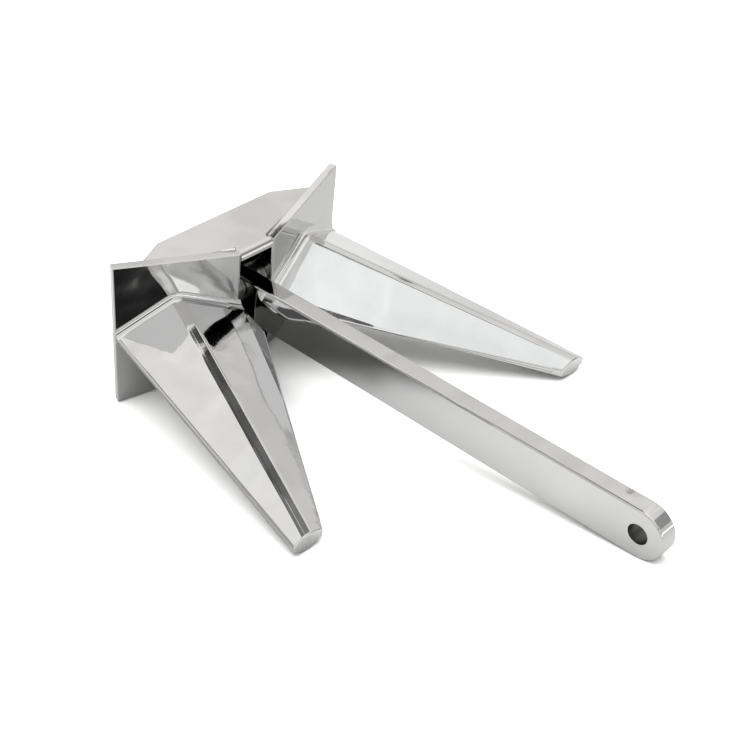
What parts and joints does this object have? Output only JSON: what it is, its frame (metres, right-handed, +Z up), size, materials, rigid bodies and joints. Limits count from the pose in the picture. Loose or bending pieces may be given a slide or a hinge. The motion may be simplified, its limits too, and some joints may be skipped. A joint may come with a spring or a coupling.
{
  "type": "fluke anchor",
  "caption": "Tilting-head boat anchor: a flat-bar shank with a shackle eye, hinged in a welded crown that carries diverging hollow flukes.",
  "frame": {"origin": "on the floor, under the middle of the anchor as it lies at rest", "axes": "+X along the crown pin, +Y from the crown along the shank to the shackle eye, +Z up from the floor"},
  "size_m": [0.346, 0.5188, 0.1477],
  "materials": {
    "polished_stainless": "polished",
    "turned_stainless": "satin"
  },
  "bodies": {
    "head": {"crown_top_plate": "polished_stainless", "crown_bottom_plate": "polished_stainless", "crown_back_plate": "polished_stainless", "crown_corner_plate_left": "polished_stainless", "crown_corner_plate_right": "polished_stainless", "slot_cheek_left": "polished_stainless", "slot_cheek_right": "polished_stainless", "wing_plate_left": "polished_stainless", "wing_plate_right": "polished_stainless", "fluke_upper_left": "polished_stainless", "fluke_lower_left": "polished_stainless", "fluke_tip_cap_left": "polished_stainless", "fluke_gusset_left": "polished_stainless", "fluke_web_left": "turned_stainless", "fluke_upper_right": "polished_stainless", "fluke_lower_right": "polished_stainless", "fluke_tip_cap_right": "polished_stainless", "fluke_gusset_right": "polished_stainless", "fluke_web_right": "turned_stainless", "crown_pin": "turned_stainless", "pin_boss_left": "turned_stainless", "pin_boss_right": "turned_stainless", "pin_cap_left": "turned_stainless", "pin_cap_right": "turned_stainless", "shank_spacer_left": "turned_stainless", "shank_spacer_right": "turned_stainless"},
    "shank": {"shank": "polished_stainless"}
  },
  "joints": [
    {"name": "shank_hinge", "type": "hinge", "parent": "head", "child": "shank", "pos_m": [0, -0.21596, 0.07109], "axis": [1, 0, 0], "range_deg": [-46.7, 32.2]}
  ]
}
